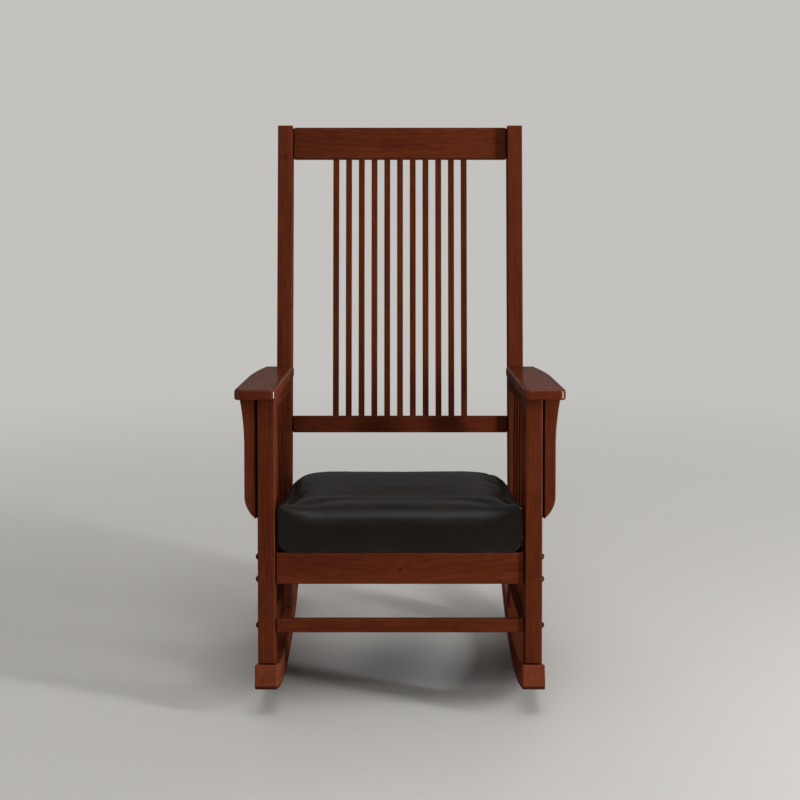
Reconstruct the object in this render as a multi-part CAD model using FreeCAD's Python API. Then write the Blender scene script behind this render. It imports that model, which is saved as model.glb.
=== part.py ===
import FreeCAD
import Part
import math
import os

# Stance: the chair faces -Y, Z is up from the floor and X = 0 is its middle plane.
# A leg's or post's floor_y is where its front face would meet the floor.
seat_width = 508.0
back_length = 1195.5
leg_floor_y = -441.7
leg_lean = 9.5
post_floor_y = 77.7
post_lean = 15.2
seat_slope = 6.45
post_width = 35.0
post_depth = 58.0

# Rockers: one arc that touches the floor at contact_y, under the chair's centre of mass
contact_y = -39.2
rocker_radius = 1300.0
rocker_depth = 50.0
rocker_width = 46.0
rocker_nose_y = -449.6
rocker_tail_y = 402.0
rocker_ease = 3.0
nose_chamfer = 7.0

# Arms: full width from the front to arm_straight, then drawn in to arm_rear_x at the post
arm_front_y = -355.0
arm_front_z = 669.0
arm_thickness = 23.0
arm_inner_x = 249.0
arm_outer_x = 334.0
arm_rear_x = 314.0
arm_straight = 300.0
arm_reach = 640.0
arm_corner = 13.0
arm_top_ease = 7.0
arm_under_ease = 4.0

# Corbels: a sweep out to the arm above, a straight edge and a round foot
corbel_gap = 4.0
corbel_groove = 8.0
corbel_setback = 4.0
corbel_thickness = 22.0
corbel_reach = 27.0
corbel_flare = 10.0
corbel_foot = 406.0
corbel_round = 456.0
corbel_sweep = 556.0
corbel_top = 658.0

# Seat plane: the tops of the seat rails, measured at the front face of the legs
seat_front_y = -386.0
seat_front_z = 334.8

# Rails. A setback is measured from the front face of the leg or post.
rail_thickness = 22.0
apron_height = 64.0
apron_setback = 7.0
stretcher_height = 27.5
stretcher_foot = 176.5
rear_rail_height = 60.0
rear_rail_setback = 2.0
back_setback = 20.0
crest_height = 74.0
crest_drop = 0.5
lower_rail_foot = 470.0
lower_rail_height = 39.0
side_thickness = 25.0
side_setback = 2.0
side_rail_height = 60.0
arm_rail_height = 30.0
side_stretcher_height = 51.0
side_stretcher_drop = 130.0
shoulder_gap = 3.0
tenon_length = 15.0
tenon_cheek = 7.5
side_tenon_cheek = 6.0
tenon_shoulder = 1.0
foot_gap = 2.5
foot_groove = 6.0
edge_ease = 2.0
post_ease = 2.5

# Spindles and slats, let into their rails by socket
spindle_count = 11
spindle_pitch = 30.3
spindle_width = 14.0
spindle_thickness = 12.0
slat_count = 5
slat_width = 44.0
slat_thickness = 12.0
slat_ease = 1.5
socket = 12.0

# Seat: leather over foam on a plywood board. Its flank is given from the base up to the
# shoulder, as how far each plan line lies inside the widest one and how high it is.
cushion_half = 246.0
cushion_front = 6.0
cushion_rear = 560.0
cushion_edge = 101.0
cushion_crown = 110.0
cushion_taper = 0.1
cushion_draw = 4.0
cushion_corner = 22.0
cushion_flank = [(8.0, 0.0), (2.5, 6.0), (0.0, 20.0), (0.0, 60.0), (3.0, 84.0), (10.0, 95.0)]
least_draw = 1.5
crown_inset = 220.0
edge_inset = 22.0
crown_rings = 5
crown_step = 37.0
corner_growth = 0.25
leather = 2.0
board_thickness = 12.0
block_size = 60.0
block_height = 42.0
cleat_width = 30.0
cleat_height = 18.0
cleat_front = 92.0
cleat_rear = 475.0

# Fasteners
bolt_diameter = 6.0
bolt_reach = 45.0
bolt_spread = 23.0
head_diameter = 12.0
head_height = 4.0
plug_stem = 6.0
plug_diameter = 13.5
plug_rise = 5.5
plug_lip = 1.0
nut_diameter = 10.0
nut_length = 16.0
nut_reach = 30.0
nut_cover = 1.0
screw_diameter = 4.5
screw_head = 9.0
screw_bite = 8.0
screw_inset = 20.0
screw_side = 26.0
screw_cap = 3.0
dowel_diameter = 9.0
dowel_bite = 24.0
arm_bite = 14.0

vec = FreeCAD.Vector
across = vec(1, 0, 0)
along_run = vec(0, 1, 0)
along_rise = vec(0, 0, 1)
half_seat = seat_width / 2
outer_face = half_seat + post_width
reach = 2000.0
near = 0.1


class Incline:
    """Side-view axes: run goes back and down a slope, rise stands square to it."""

    def __init__(self, y, z, fall):
        turn = math.radians(fall)
        self.fall = fall
        self.origin = vec(0, y, z)
        self.run = vec(0, math.cos(turn), -math.sin(turn))
        self.rise = vec(0, math.sin(turn), math.cos(turn))

    def point(self, x, run, rise):
        return self.origin + across * x + self.run * run + self.rise * rise

    def placed(self, solid):
        """A solid drawn as (x, run, rise), carried to its place in the chair."""
        moved = solid.copy()
        moved.Placement = FreeCAD.Placement(self.origin, FreeCAD.Rotation(across, -self.fall))
        return moved

    def run_at(self, rise, other, other_run):
        """The run, at one rise, where a face of another incline is crossed."""
        offset = self.point(0, 0, rise) - other.origin
        return (other_run - offset.dot(other.run)) / self.run.dot(other.run)

    def rise_at(self, run, other, other_rise):
        """The rise, at one run, where a level of another incline is crossed."""
        offset = self.point(0, run, 0) - other.origin
        return (other_rise - offset.dot(other.rise)) / self.rise.dot(other.rise)

    def rise_on_rocker(self, run):
        """The rise where a line along a leg or post lands on top of the rocker."""
        offset = self.point(0, run, 0) - vec(0, contact_y, rocker_radius)
        fall = offset.dot(self.rise)
        top_radius = rocker_radius - rocker_depth
        return -fall - math.sqrt(fall**2 - offset.dot(offset) + top_radius**2)


leg_line = Incline(leg_floor_y, 0, leg_lean)
post_line = Incline(post_floor_y, 0, post_lean)
seat_line = Incline(seat_front_y, seat_front_z, seat_slope)
arm_line = Incline(arm_front_y, arm_front_z, seat_slope)


def centred(middle, size):
    return (middle - size / 2, middle + size / 2)


def inset(span, margin):
    return (span[0] + margin, span[1] - margin)


def sided(side, span):
    """An x span given for the right, turned to the side asked for."""
    return span if side > 0 else (-span[1], -span[0])


def edges_along(solid, direction):
    return [e for e in solid.Edges if abs(e.tangentAt(e.FirstParameter).dot(direction)) > 0.99]


def stick(x, run, rise, ease=0.0, grain=along_rise):
    """A straight member drawn as (x, run, rise), its edges along the grain eased."""
    low = vec(x[0], run[0], rise[0])
    solid = Part.makeBox(x[1] - x[0], run[1] - run[0], rise[1] - rise[0], low)
    if ease > 0:
        solid = solid.makeFillet(ease, edges_along(solid, grain))
    return solid


def cylinder(diameter, start, end):
    axis = end - start
    return Part.makeCylinder(diameter / 2, axis.Length, start, axis)


wide = (-reach, reach)
before_legs = leg_line.placed(stick(wide, (-reach, post_depth), wide))
behind_posts = post_line.placed(stick(wide, (0, reach), wide))
above_arms = arm_line.placed(stick(wide, wide, (-arm_thickness, reach)))
above_seat = seat_line.placed(stick(wide, wide, (0, reach)))


def runner_blank(side, depth):
    """A bent runner of one depth, cut square to its arc at nose and tail."""
    nose = math.asin((rocker_nose_y - contact_y) / rocker_radius)
    tail = math.asin((rocker_tail_y - contact_y) / rocker_radius)
    x = sided(side, centred(half_seat + post_width / 2, rocker_width))

    def on_arc(radius, angle):
        return vec(x[0], contact_y + radius * math.sin(angle), rocker_radius - radius * math.cos(angle))

    top = rocker_radius - depth
    middle = (nose + tail) / 2
    sole = Part.Arc(on_arc(rocker_radius, nose), on_arc(rocker_radius, middle), on_arc(rocker_radius, tail))
    back = Part.LineSegment(on_arc(rocker_radius, tail), on_arc(top, tail))
    deck = Part.Arc(on_arc(top, tail), on_arc(top, middle), on_arc(top, nose))
    front = Part.LineSegment(on_arc(top, nose), on_arc(rocker_radius, nose))
    outline = Part.Wire([curve.toShape() for curve in (sole, back, deck, front)])
    return Part.Face(outline).extrude(across * rocker_width)


def rocker(side):
    """A runner with the lower edge of its nose chamfered and all its edges eased."""
    solid = runner_blank(side, rocker_depth)
    front_edges = sorted(edges_along(solid, across), key=lambda edge: edge.CenterOfMass.y)[:2]
    lowest = min(front_edges, key=lambda edge: edge.CenterOfMass.z)
    solid = solid.makeChamfer(nose_chamfer, [lowest])
    return solid.makeFillet(rocker_ease, solid.Edges)


def upright(side, line, top):
    """A front leg or rear post on its rocker, with a groove all round just above it."""
    x = sided(side, (half_seat, outer_face))
    foot = line.rise_on_rocker(post_depth / 2) - rocker_depth / 2
    whole = line.placed(stick(x, (0, post_depth), (foot, top), post_ease))
    core = line.placed(stick(inset(x, foot_groove), (foot_groove, post_depth - foot_groove), (foot, top)))
    groove = runner_blank(side, rocker_depth + foot_gap).cut(core)
    return whole.cut([groove, runner_blank(side, rocker_depth)])


def arm(side):
    """A flat arm, its outer edge bowed in towards the post and its edges rounded over."""
    bow = arm_outer_x - arm_rear_x
    span = arm_reach - arm_straight
    bow_radius = (span**2 + bow**2) / (2 * bow)
    half_bow = bow_radius - math.sqrt(bow_radius**2 - (span / 2) ** 2)
    inner_front = vec(side * arm_inner_x, 0, -arm_thickness)
    outer_front = vec(side * arm_outer_x, 0, -arm_thickness)
    bow_start = vec(side * arm_outer_x, arm_straight, -arm_thickness)
    bow_middle = vec(side * (arm_outer_x - half_bow), arm_straight + span / 2, -arm_thickness)
    outer_rear = vec(side * arm_rear_x, arm_reach, -arm_thickness)
    inner_rear = vec(side * arm_inner_x, arm_reach, -arm_thickness)
    curves = [
        Part.LineSegment(inner_front, outer_front),
        Part.LineSegment(outer_front, bow_start),
        Part.Arc(bow_start, bow_middle, outer_rear),
        Part.LineSegment(outer_rear, inner_rear),
        Part.LineSegment(inner_rear, inner_front),
    ]
    outline = Part.Wire([curve.toShape() for curve in curves])
    solid = Part.Face(outline).extrude(along_rise * arm_thickness)
    front_corners = [e for e in edges_along(solid, along_rise) if e.CenterOfMass.y < near]
    solid = solid.makeFillet(arm_corner, front_corners)

    def rim(height):
        boxes = [(e, e.BoundBox) for e in solid.Edges]
        return [e for e, box in boxes if max(abs(box.ZMin - height), abs(box.ZMax - height)) < near]

    solid = solid.makeFillet(arm_top_ease, rim(0))
    solid = solid.makeFillet(arm_under_ease, rim(-arm_thickness))
    return arm_line.placed(solid).cut(behind_posts)


def corbel(side):
    """A bracket board on the outer face of a front leg, grooved along both edges of the joint."""
    foot_drop = corbel_round - corbel_foot
    foot_radius = (corbel_reach**2 + foot_drop**2) / (2 * corbel_reach)
    foot_centre = corbel_reach - foot_radius
    flare_height = corbel_top - corbel_sweep
    flare_radius = (flare_height**2 + corbel_flare**2) / (2 * corbel_flare)
    flare_angle = math.asin(flare_height / flare_radius)

    def spot(out, rise):
        return vec(side * (outer_face + out), corbel_setback, rise)

    def foot_spot(angle):
        out = foot_centre + foot_radius * math.cos(angle)
        return spot(out, corbel_round - foot_radius * math.sin(angle))

    def flare_spot(angle):
        out = corbel_reach + flare_radius * (1 - math.cos(angle))
        return spot(out, corbel_sweep + flare_radius * math.sin(angle))

    heel = math.acos((corbel_gap - foot_centre) / foot_radius)
    top_inner = spot(corbel_gap, corbel_top)
    curves = [
        Part.Arc(foot_spot(heel), foot_spot(heel / 2), foot_spot(0)),
        Part.LineSegment(foot_spot(0), flare_spot(0)),
        Part.Arc(flare_spot(0), flare_spot(flare_angle / 2), flare_spot(flare_angle)),
        Part.LineSegment(flare_spot(flare_angle), top_inner),
        Part.LineSegment(top_inner, foot_spot(heel)),
    ]
    outline = Part.Wire([curve.toShape() for curve in curves])
    solid = Part.Face(outline).extrude(along_run * corbel_thickness)
    rims = [e for e in solid.Edges if e.BoundBox.YLength < near and e.BoundBox.ZMin < corbel_top - near]
    solid = solid.makeFillet(edge_ease, rims)
    tongue_x = sided(side, (outer_face, outer_face + corbel_gap + edge_ease))
    tongue_run = inset((corbel_setback, corbel_setback + corbel_thickness), corbel_groove)
    tongue = stick(tongue_x, tongue_run, (foot_spot(heel).z + edge_ease, corbel_top))
    return leg_line.placed(solid.fuse(tongue).removeSplitter()).cut(above_arms)


def cross_rail(line, run, rise):
    """A rail from side to side and the tenon that runs out of both its ends."""
    body = stick((shoulder_gap - half_seat, half_seat - shoulder_gap), run, rise, edge_ease, across)
    tenon_span = (-half_seat - tenon_length, half_seat + tenon_length)
    tenon = stick(tenon_span, inset(run, tenon_cheek), inset(rise, tenon_shoulder))
    return line.placed(body.fuse(tenon).removeSplitter()), line.placed(tenon)


def side_rail(side, line, rise):
    """A rail from front leg to rear post, shouldered against both, and its tenon."""
    middle = (rise[0] + rise[1]) / 2
    start = line.run_at(middle, leg_line, post_depth)
    end = line.run_at(middle, post_line, 0)
    x = sided(side, (half_seat + side_setback, half_seat + side_setback + side_thickness))
    long_span = (start - post_depth / 2, end + post_depth / 2)
    body = line.placed(stick(x, long_span, rise, edge_ease, along_run))
    body = body.cut([before_legs, behind_posts])
    tenon_span = (start - tenon_length, end + tenon_length)
    tenon = line.placed(stick(inset(x, side_tenon_cheek), tenon_span, inset(rise, tenon_shoulder)))
    return body.fuse(tenon).removeSplitter(), tenon


def cushion_section(line_inset, height, draw):
    """The seat's plan line at one height: four sides drawn in between round corners."""
    half = cushion_half - line_inset
    front = cushion_front + line_inset
    rear = cushion_rear - line_inset
    radius = cushion_corner + corner_growth * line_inset
    bulge = radius * (1 - math.sqrt(0.5))

    def spot(x, run):
        return vec(x, run, height * (1 - cushion_taper * run / cushion_rear))

    middle = (front + rear) / 2
    curves = []
    ring = [
        (spot(radius - half, front), spot(0, front + draw), spot(half - radius, front)),
        (spot(half - radius, front), spot(half - bulge, front + bulge), spot(half, front + radius)),
        (spot(half, front + radius), spot(half - draw, middle), spot(half, rear - radius)),
        (spot(half, rear - radius), spot(half - bulge, rear - bulge), spot(half - radius, rear)),
        (spot(half - radius, rear), spot(0, rear - draw), spot(radius - half, rear)),
        (spot(radius - half, rear), spot(bulge - half, rear - bulge), spot(-half, rear - radius)),
        (spot(-half, rear - radius), spot(draw - half, middle), spot(-half, front + radius)),
        (spot(-half, front + radius), spot(bulge - half, front + bulge), spot(radius - half, front)),
    ]
    for start, via, end in ring:
        curves.append(Part.Arc(start, via, end).toShape())
    return Part.Wire(curves)


def cushion_form(skin):
    """The crowned seat, or with a skin taken off all over, what fills its cover."""
    rise = cushion_crown - cushion_edge
    crown = []
    for step in range(crown_rings):
        line_inset = edge_inset + step * crown_step
        left = (crown_inset - line_inset) / (crown_inset - edge_inset)
        crown.append((line_inset, cushion_crown - rise * left**2))
    sections = []
    if skin > 0:
        sections.append(cushion_section(cushion_flank[0][0] + skin, -skin, cushion_draw))
    for line_inset, height in cushion_flank + crown:
        draw = max(least_draw, cushion_draw * (1 - line_inset / crown_inset))
        scaled = height * (1 - skin / cushion_crown)
        sections.append(cushion_section(line_inset + skin, scaled, draw))
    return Part.makeLoft(sections, True, True)


def plug(side, centre):
    """A domed button with a stem, turned about X."""
    half = plug_diameter / 2
    dome = plug_rise - plug_lip
    sphere = (half**2 + dome**2) / (2 * dome)
    shoulder = math.asin(half / sphere)
    hub = plug_rise - sphere

    def spot(out, radius):
        return centre + vec(side * out, 0, radius)

    curves = [
        Part.LineSegment(spot(-plug_stem, 0), spot(-plug_stem, head_diameter / 2)),
        Part.LineSegment(spot(-plug_stem, head_diameter / 2), spot(0, head_diameter / 2)),
        Part.LineSegment(spot(0, head_diameter / 2), spot(0, half)),
        Part.LineSegment(spot(0, half), spot(plug_lip, half)),
        Part.Arc(
            spot(plug_lip, half),
            spot(hub + sphere * math.cos(shoulder / 2), sphere * math.sin(shoulder / 2)),
            spot(plug_rise, 0),
        ),
        Part.LineSegment(spot(plug_rise, 0), spot(-plug_stem, 0)),
    ]
    outline = Part.Wire([curve.toShape() for curve in curves])
    return Part.Face(outline).revolve(centre, across, 360)


def bolt(side, centre):
    """A frame bolt along X: its head under the plug, its shank through the leg into a rail."""
    head_end = centre - across * (side * plug_stem)
    head_start = head_end - across * (side * head_height)
    tip = centre - across * (side * (post_width + bolt_reach))
    return cylinder(head_diameter, head_start, head_end).fuse(cylinder(bolt_diameter, tip, head_start))


def barrel_nut(side, rise):
    """The cross nut of one frame bolt, let into the back of its rail."""
    end = apron_setback + rail_thickness - nut_cover
    x = side * (half_seat - nut_reach)
    return cylinder(nut_diameter, leg_line.point(x, end - nut_length, rise), leg_line.point(x, end, rise))


def corner_block(side, line, run, depth, top):
    """A three-cornered block behind a seat rail, and the screw that holds the seat to it."""
    corners = [
        line.point(side * half_seat, run, top - block_height),
        line.point(side * (half_seat - block_size), run, top - block_height),
        line.point(side * half_seat, run + depth * block_size, top - block_height),
    ]
    face = Part.Face(Part.makePolygon(corners + corners[:1]))
    block = face.extrude(line.rise * (block_height + screw_bite)).cut(above_seat)
    x = side * (half_seat - screw_side)
    screw_run = run + depth * screw_inset
    underside = line.point(x, screw_run, top - block_height)
    tip = line.point(x, screw_run, top + screw_bite)
    shank = cylinder(screw_diameter, underside, tip)
    head = cylinder(screw_head, underside - line.rise * screw_cap, underside)
    screw = shank.fuse(head)
    return block.cut(screw), screw


def cleat(side):
    """A ledge along the inside of a side seat rail, which carries the edge of the seat board."""
    rail_face = half_seat + side_setback
    x = sided(side, (rail_face - cleat_width, rail_face))
    return seat_line.placed(stick(x, (cleat_front, cleat_rear), (-cleat_height, 0)))


def foot_dowels(side, line):
    """The pair of dowels that fix a leg or post to its rocker."""
    x = side * (half_seat + post_width / 2)
    pair = []
    for run in centred(post_depth / 2, post_depth / 2):
        landing = line.rise_on_rocker(run)
        low = line.point(x, run, landing - dowel_bite)
        pair.append(cylinder(dowel_diameter, low, line.point(x, run, landing + dowel_bite)))
    return pair


def arm_fixings(side):
    """Dowels up into the arm from leg and rail, and back from the arm into the post."""
    leg_x = side * (half_seat + post_width / 2)
    rail_x = side * (half_seat + side_setback + side_thickness / 2)
    leg_run = post_depth / 2
    under = leg_line.rise_at(leg_run, arm_line, -arm_thickness)
    rear = arm_line.run_at(-arm_thickness / 2, post_line, 0)
    level = -arm_thickness / 2
    leg_foot = leg_line.point(leg_x, leg_run, under - dowel_bite)
    leg_tip = leg_line.point(leg_x, leg_run, under + arm_bite)
    rail_foot = arm_line.point(rail_x, arm_straight, -arm_thickness - arm_bite)
    rail_tip = arm_line.point(rail_x, arm_straight, -arm_thickness + arm_bite)
    post_foot = arm_line.point(leg_x, rear - dowel_bite, level)
    post_tip = arm_line.point(leg_x, rear + dowel_bite, level)
    spans = [(leg_foot, leg_tip), (rail_foot, rail_tip), (post_foot, post_tip)]
    return [cylinder(dowel_diameter, start, end) for start, end in spans]


def corbel_fixings(side):
    """Dowels between corbel and leg."""
    run = corbel_setback + corbel_thickness / 2
    start = side * (outer_face - arm_bite)
    end = side * (outer_face + corbel_gap + arm_bite)
    pair = []
    for rise in (corbel_round + dowel_bite, corbel_sweep + dowel_bite):
        inner_end = leg_line.point(start, run, rise)
        pair.append(cylinder(dowel_diameter, inner_end, leg_line.point(end, run, rise)))
    return pair


def slats(side):
    """The slats of one side, evenly spaced between leg and post and let into both rails."""
    top = seat_line.rise_at(0, arm_line, -arm_thickness - arm_rail_height)
    start = seat_line.run_at(top / 2, leg_line, post_depth)
    end = seat_line.run_at(top / 2, post_line, 0)
    gap = (end - start - slat_count * slat_width) / (slat_count + 1)
    x = sided(side, centred(half_seat + side_setback + side_thickness / 2, slat_thickness))
    row = []
    for index in range(slat_count):
        low = start + gap + index * (slat_width + gap)
        slat = stick(x, (low, low + slat_width), (-socket, top + socket), slat_ease)
        row.append(seat_line.placed(slat))
    return row


def spindles():
    """The back spindles, evenly spaced about the middle and let into crest and lower rail."""
    run = centred(back_setback + rail_thickness / 2, spindle_thickness)
    rise = (lower_rail_foot + lower_rail_height - socket, crest_rise[0] + socket)
    row = []
    for index in range(spindle_count):
        middle = (index - (spindle_count - 1) / 2) * spindle_pitch
        row.append(post_line.placed(stick(centred(middle, spindle_width), run, rise, slat_ease)))
    return row


nodes = {}
names = {-1: "left", 1: "right"}

# Rails from side to side
front_run = (apron_setback, apron_setback + rail_thickness)
back_run = (back_setback, back_setback + rail_thickness)
rear_run = (rear_rail_setback, rear_rail_setback + rail_thickness)
apron_top = leg_line.rise_at(apron_setback, seat_line, 0)
rear_top = post_line.rise_at(rear_rail_setback, seat_line, 0)
stretcher_rise = (stretcher_foot, stretcher_foot + stretcher_height)
crest_rise = (back_length - crest_drop - crest_height, back_length - crest_drop)
lower_rise = (lower_rail_foot, lower_rail_foot + lower_rail_height)
apron, apron_tenon = cross_rail(leg_line, front_run, (apron_top - apron_height, apron_top))
stretcher, stretcher_tenon = cross_rail(leg_line, front_run, stretcher_rise)
rear_rail, rear_tenon = cross_rail(post_line, rear_run, (rear_top - rear_rail_height, rear_top))
crest, crest_tenon = cross_rail(post_line, back_run, crest_rise)
lower_rail, lower_tenon = cross_rail(post_line, back_run, lower_rise)
apron = apron.cut(above_seat)
rear_rail = rear_rail.cut(above_seat)

back_spindles = spindles()
nodes["crest_rail"] = crest.cut(back_spindles)
nodes["lower_back_rail"] = lower_rail.cut(back_spindles)
nodes["rear_seat_rail"] = rear_rail
for index, spindle in enumerate(back_spindles):
    nodes[f"back_spindle_{index + 1:02d}"] = spindle

# Seat
board_slab = seat_line.placed(stick(wide, wide, (0, board_thickness)))
below_foam = seat_line.placed(stick(wide, wide, (-reach, board_thickness)))
filling = seat_line.placed(cushion_form(leather))
nodes["seat_cover"] = seat_line.placed(cushion_form(0.0)).cut(filling)
nodes["seat_foam"] = filling.cut(below_foam)
seat_board = filling.common(board_slab)

# Side frames, arms, rockers and what fastens them
bolts, nuts, plugs = [], [], []
screws, rocker_pins, arm_pins, corbel_pins = [], [], [], []
apron_middle = apron_top - apron_height / 2
bolt_rises = [apron_middle + bolt_spread, apron_middle - bolt_spread, stretcher_foot + stretcher_height / 2]
bolt_run = apron_setback + rail_thickness / 2
arm_rail_top = -arm_thickness
side_stretcher_rise = (-side_stretcher_drop - side_stretcher_height, -side_stretcher_drop)
for side, name in names.items():
    runner = rocker(side)
    leg_top = leg_line.rise_at(post_depth / 2, arm_line, 0)
    leg = upright(side, leg_line, leg_top).cut(above_arms)
    post = upright(side, post_line, back_length)
    arm_rail, arm_rail_tenon = side_rail(side, arm_line, (arm_rail_top - arm_rail_height, arm_rail_top))
    seat_rail, seat_rail_tenon = side_rail(side, seat_line, (-side_rail_height, 0))
    low_rail, low_rail_tenon = side_rail(side, seat_line, side_stretcher_rise)
    side_tenons = [arm_rail_tenon, seat_rail_tenon, low_rail_tenon]
    row = slats(side)
    side_bolts = [bolt(side, leg_line.point(side * outer_face, bolt_run, rise)) for rise in bolt_rises]
    side_plugs = [plug(side, leg_line.point(side * outer_face, bolt_run, rise)) for rise in bolt_rises]
    side_nuts = [barrel_nut(side, rise) for rise in bolt_rises]
    feet = foot_dowels(side, leg_line) + foot_dowels(side, post_line)
    arm_side = arm_fixings(side)
    corbel_side = corbel_fixings(side)
    leg_holes = [apron_tenon, stretcher_tenon] + side_tenons + side_bolts + side_plugs
    post_holes = [crest_tenon, lower_tenon, rear_tenon] + side_tenons
    nodes[f"rocker_{name}"] = runner.cut(feet)
    nodes[f"front_leg_{name}"] = leg.cut(leg_holes + feet + arm_side + corbel_side)
    nodes[f"rear_post_{name}"] = post.cut(post_holes + feet + arm_side)
    nodes[f"arm_{name}"] = arm(side).cut(arm_side)
    nodes[f"corbel_{name}"] = corbel(side).cut(corbel_side)
    nodes[f"arm_rail_{name}"] = arm_rail.cut(row + arm_side)
    nodes[f"seat_rail_{name}"] = seat_rail.cut(row + [rear_tenon])
    nodes[f"seat_cleat_{name}"] = cleat(side)
    nodes[f"side_stretcher_{name}"] = low_rail
    for index, slat in enumerate(row):
        nodes[f"side_slat_{name}_{index + 1}"] = slat
    for place, line, run, depth, top in (
        ("front", leg_line, front_run[1], 1, apron_top),
        ("rear", post_line, rear_run[0], -1, rear_top),
    ):
        block, screw = corner_block(side, line, run, depth, top)
        nodes[f"corner_block_{place}_{name}"] = block
        screws.append(screw)
    bolts += side_bolts
    plugs += side_plugs
    nuts += [nut.cut(side_bolts) for nut in side_nuts]
    rocker_pins += feet
    arm_pins += arm_side
    corbel_pins += corbel_side

nodes["front_apron"] = apron.cut(bolts + nuts)
nodes["front_stretcher"] = stretcher.cut(bolts + nuts)
nodes["seat_board"] = seat_board.cut(screws)
nodes["frame_bolts"] = Part.makeCompound(bolts)
nodes["barrel_nuts"] = Part.makeCompound(nuts)
nodes["button_plugs"] = Part.makeCompound(plugs)
nodes["seat_screws"] = Part.makeCompound(screws)
nodes["rocker_dowels"] = Part.makeCompound(rocker_pins)
nodes["arm_dowels"] = Part.makeCompound(arm_pins)
nodes["corbel_dowels"] = Part.makeCompound(corbel_pins)

os.makedirs("parts", exist_ok=True)
for name, shape in nodes.items():
    shape.exportStep(f"parts/{name}.step")
    print(name, len(shape.Solids), round(shape.Volume / 1000, 1), shape.isValid())
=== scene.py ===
import math
import bmesh
import bpy
import numpy as np
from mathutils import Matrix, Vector
from mathutils import noise


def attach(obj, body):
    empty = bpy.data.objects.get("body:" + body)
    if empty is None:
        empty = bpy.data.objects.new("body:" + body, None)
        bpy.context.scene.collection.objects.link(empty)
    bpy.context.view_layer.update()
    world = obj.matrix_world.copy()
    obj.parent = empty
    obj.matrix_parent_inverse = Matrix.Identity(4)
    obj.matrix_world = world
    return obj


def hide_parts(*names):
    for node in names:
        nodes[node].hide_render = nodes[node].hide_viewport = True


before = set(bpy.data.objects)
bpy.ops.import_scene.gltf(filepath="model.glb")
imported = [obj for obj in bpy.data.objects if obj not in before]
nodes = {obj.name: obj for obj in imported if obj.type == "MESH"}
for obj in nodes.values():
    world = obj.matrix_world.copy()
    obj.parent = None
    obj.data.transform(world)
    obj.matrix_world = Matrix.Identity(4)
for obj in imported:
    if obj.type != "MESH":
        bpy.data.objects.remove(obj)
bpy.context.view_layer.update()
print("frame loaded,", len(nodes), "nodes")

# the chair's own slopes, in degrees, and the seat's place, in metres
chair = {
    "legLean": 9.5,
    "postLean": 15.2,
    "seatSlope": 6.45,
    "seatFront": (0.0, -0.386, 0.3348),  # where the seat plane starts, level with the legs' fronts
    "rockerTouch": (0.0, -0.0392, 1.3),  # centre of the rockers' arc
    "rockerRadius": 1.3,
}


def link(tree, socket, value):
    if isinstance(value, bpy.types.NodeSocket):
        tree.links.new(value, socket)
    else:
        socket.default_value = value


def addNode(tree, kind, inputs=None, **settings):
    node = tree.nodes.new(kind)
    for key, value in settings.items():
        setattr(node, key, value)
    for key, value in (inputs or {}).items():
        link(tree, node.inputs[key], value)
    return node


def maths(tree, operation, first, second=0.0, third=0.0, clamp=False):
    inputs = {0: first, 1: second, 2: third}
    return addNode(tree, "ShaderNodeMath", inputs, operation=operation, use_clamp=clamp).outputs[0]


def vectorMaths(tree, operation, first, second):
    return addNode(tree, "ShaderNodeVectorMath", {0: first, 1: second}, operation=operation).outputs


def axesOf(tree, vector):
    return addNode(tree, "ShaderNodeSeparateXYZ", {0: vector}).outputs


def lengthOf(tree, first, second):
    squares = maths(tree, "MULTIPLY_ADD", first, first, maths(tree, "MULTIPLY", second, second))
    return maths(tree, "SQRT", squares)


def remap(tree, value, low, high, toLow=0.0, toHigh=1.0, smooth=False):
    kind = "SMOOTHSTEP" if smooth else "LINEAR"
    inputs = {"Value": value, "From Min": low, "From Max": high, "To Min": toLow, "To Max": toHigh}
    return addNode(tree, "ShaderNodeMapRange", inputs, interpolation_type=kind).outputs["Result"]


def mixColour(tree, factor, first, second, blend="MIX"):
    node = addNode(tree, "ShaderNodeMix", data_type="RGBA", blend_type=blend)
    link(tree, node.inputs["Factor"], factor)
    link(tree, node.inputs["A"], first)
    link(tree, node.inputs["B"], second)
    return node.outputs["Result"]


def stretched(tree, vector, scale):
    inputs = {"Vector": vector, "Scale": scale}
    return addNode(tree, "ShaderNodeMapping", inputs).outputs["Vector"]


def noiseOf(tree, vector, detail=2.0, rough=0.5):
    inputs = {"Vector": vector, "Scale": 1.0, "Detail": detail, "Roughness": rough}
    return addNode(tree, "ShaderNodeTexNoise", inputs).outputs["Fac"]


def newGroup(name, inputs, outputs):
    tree = bpy.data.node_groups.new(name, "ShaderNodeTree")
    for socketName, kind, value in inputs:
        socket = tree.interface.new_socket(name=socketName, in_out="INPUT", socket_type=kind)
        if value is not None:
            socket.default_value = value
    for socketName, kind in outputs:
        tree.interface.new_socket(name=socketName, in_out="OUTPUT", socket_type=kind)
    return tree, tree.nodes.new("NodeGroupInput").outputs, tree.nodes.new("NodeGroupOutput").inputs


def useGroup(tree, group, inputs):
    node = tree.nodes.new("ShaderNodeGroup")
    node.node_tree = group
    for key, value in inputs.items():
        link(tree, node.inputs[key], value)
    return node.outputs


def newMaterial(name):
    material = bpy.data.materials.new(name)
    material.use_nodes = True
    tree = material.node_tree
    shader = tree.nodes["Principled BSDF"]
    place = tree.nodes.new("ShaderNodeTexCoord").outputs["Object"]
    return material, tree, shader, place


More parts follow.
